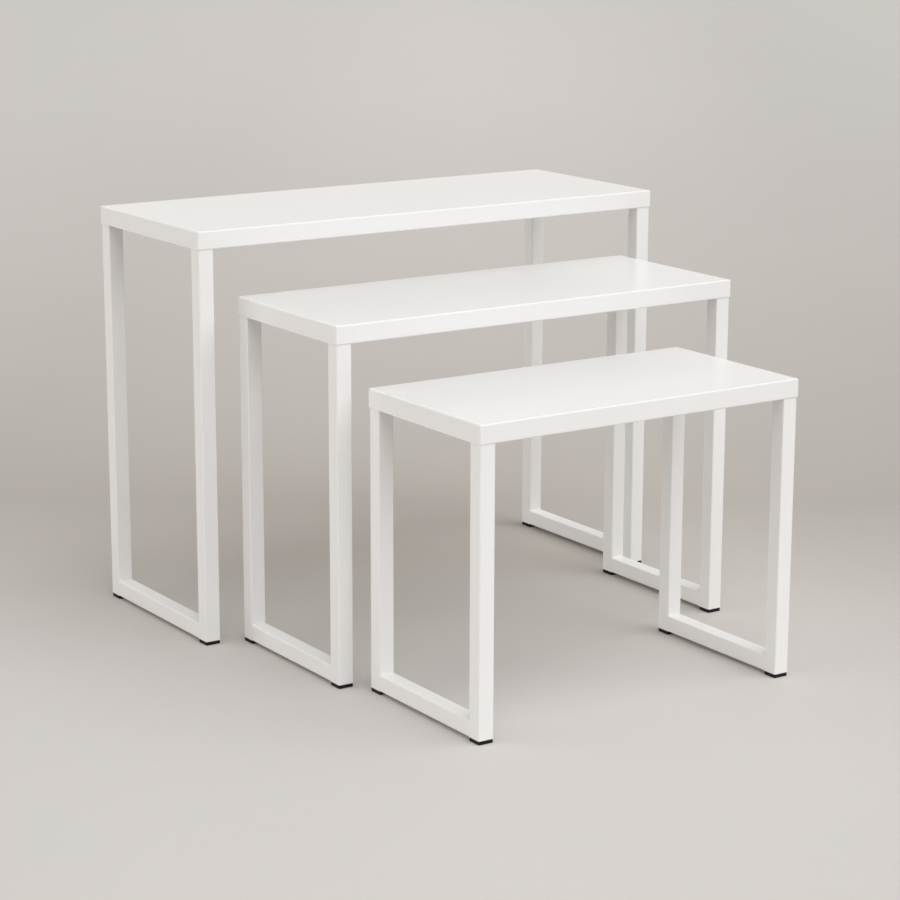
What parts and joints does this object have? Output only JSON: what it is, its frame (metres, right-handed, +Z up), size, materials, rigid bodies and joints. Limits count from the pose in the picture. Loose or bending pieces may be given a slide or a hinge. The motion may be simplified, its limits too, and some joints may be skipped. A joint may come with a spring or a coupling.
{
  "type": "tiered display table",
  "caption": "Nesting display tables of falling size: thin white folded tops on closed square-tube end frames with black feet, set out in a cascade.",
  "frame": {"origin": "on the floor, at the centre of the outline that the whole set covers as it stands in its cascade", "axes": "+X along the tops to the right, +Y from the small table at the front to the large table at the rear, +Z up"},
  "size_m": [1.2, 1.308, 0.91],
  "materials": {
    "white_coat_top": "semi-gloss white powder coat, fine even texture",
    "white_coat_frame": "semi-gloss white powder coat",
    "white_coat_inner": "white powder coat, thinner and duller in the hollow below the top",
    "black_plastic": "matt moulded black polyethylene",
    "zinc_steel": "bright zinc plate"
  },
  "bodies": {
    "large": {"large_top_tray": "white_coat_top", "large_stiffener_front": "white_coat_inner", "large_stiffener_rear": "white_coat_inner", "large_top_bar_left": "white_coat_inner", "large_floor_rail_left": "white_coat_frame", "large_leg_front_left": "white_coat_frame", "large_foot_front_left": "black_plastic", "large_leg_rear_left": "white_coat_frame", "large_foot_rear_left": "black_plastic", "large_top_bar_right": "white_coat_inner", "large_floor_rail_right": "white_coat_frame", "large_leg_front_right": "white_coat_frame", "large_foot_front_right": "black_plastic", "large_leg_rear_right": "white_coat_frame", "large_foot_rear_right": "black_plastic", "large_weld_studs": "zinc_steel", "large_stud_nuts": "zinc_steel"},
    "middle": {"middle_top_tray": "white_coat_top", "middle_stiffener_front": "white_coat_inner", "middle_stiffener_rear": "white_coat_inner", "middle_top_bar_left": "white_coat_inner", "middle_floor_rail_left": "white_coat_frame", "middle_leg_front_left": "white_coat_frame", "middle_foot_front_left": "black_plastic", "middle_leg_rear_left": "white_coat_frame", "middle_foot_rear_left": "black_plastic", "middle_top_bar_right": "white_coat_inner", "middle_floor_rail_right": "white_coat_frame", "middle_leg_front_right": "white_coat_frame", "middle_foot_front_right": "black_plastic", "middle_leg_rear_right": "white_coat_frame", "middle_foot_rear_right": "black_plastic", "middle_weld_studs": "zinc_steel", "middle_stud_nuts": "zinc_steel"},
    "small": {"small_top_tray": "white_coat_top", "small_stiffener_front": "white_coat_inner", "small_stiffener_rear": "white_coat_inner", "small_top_bar_left": "white_coat_inner", "small_floor_rail_left": "white_coat_frame", "small_leg_front_left": "white_coat_frame", "small_foot_front_left": "black_plastic", "small_leg_rear_left": "white_coat_frame", "small_foot_rear_left": "black_plastic", "small_top_bar_right": "white_coat_inner", "small_floor_rail_right": "white_coat_frame", "small_leg_front_right": "white_coat_frame", "small_foot_front_right": "black_plastic", "small_leg_rear_right": "white_coat_frame", "small_foot_rear_right": "black_plastic", "small_weld_studs": "zinc_steel", "small_stud_nuts": "zinc_steel"}
  },
  "joints": [
    {"name": "middle_nest", "type": "slide", "parent": "large", "child": "middle", "axis": [0, 1, 0], "range_m": [0, 0.409]},
    {"name": "small_nest", "type": "slide", "parent": "large", "child": "small", "axis": [0, 1, 0], "range_m": [0, 0.848]}
  ]
}
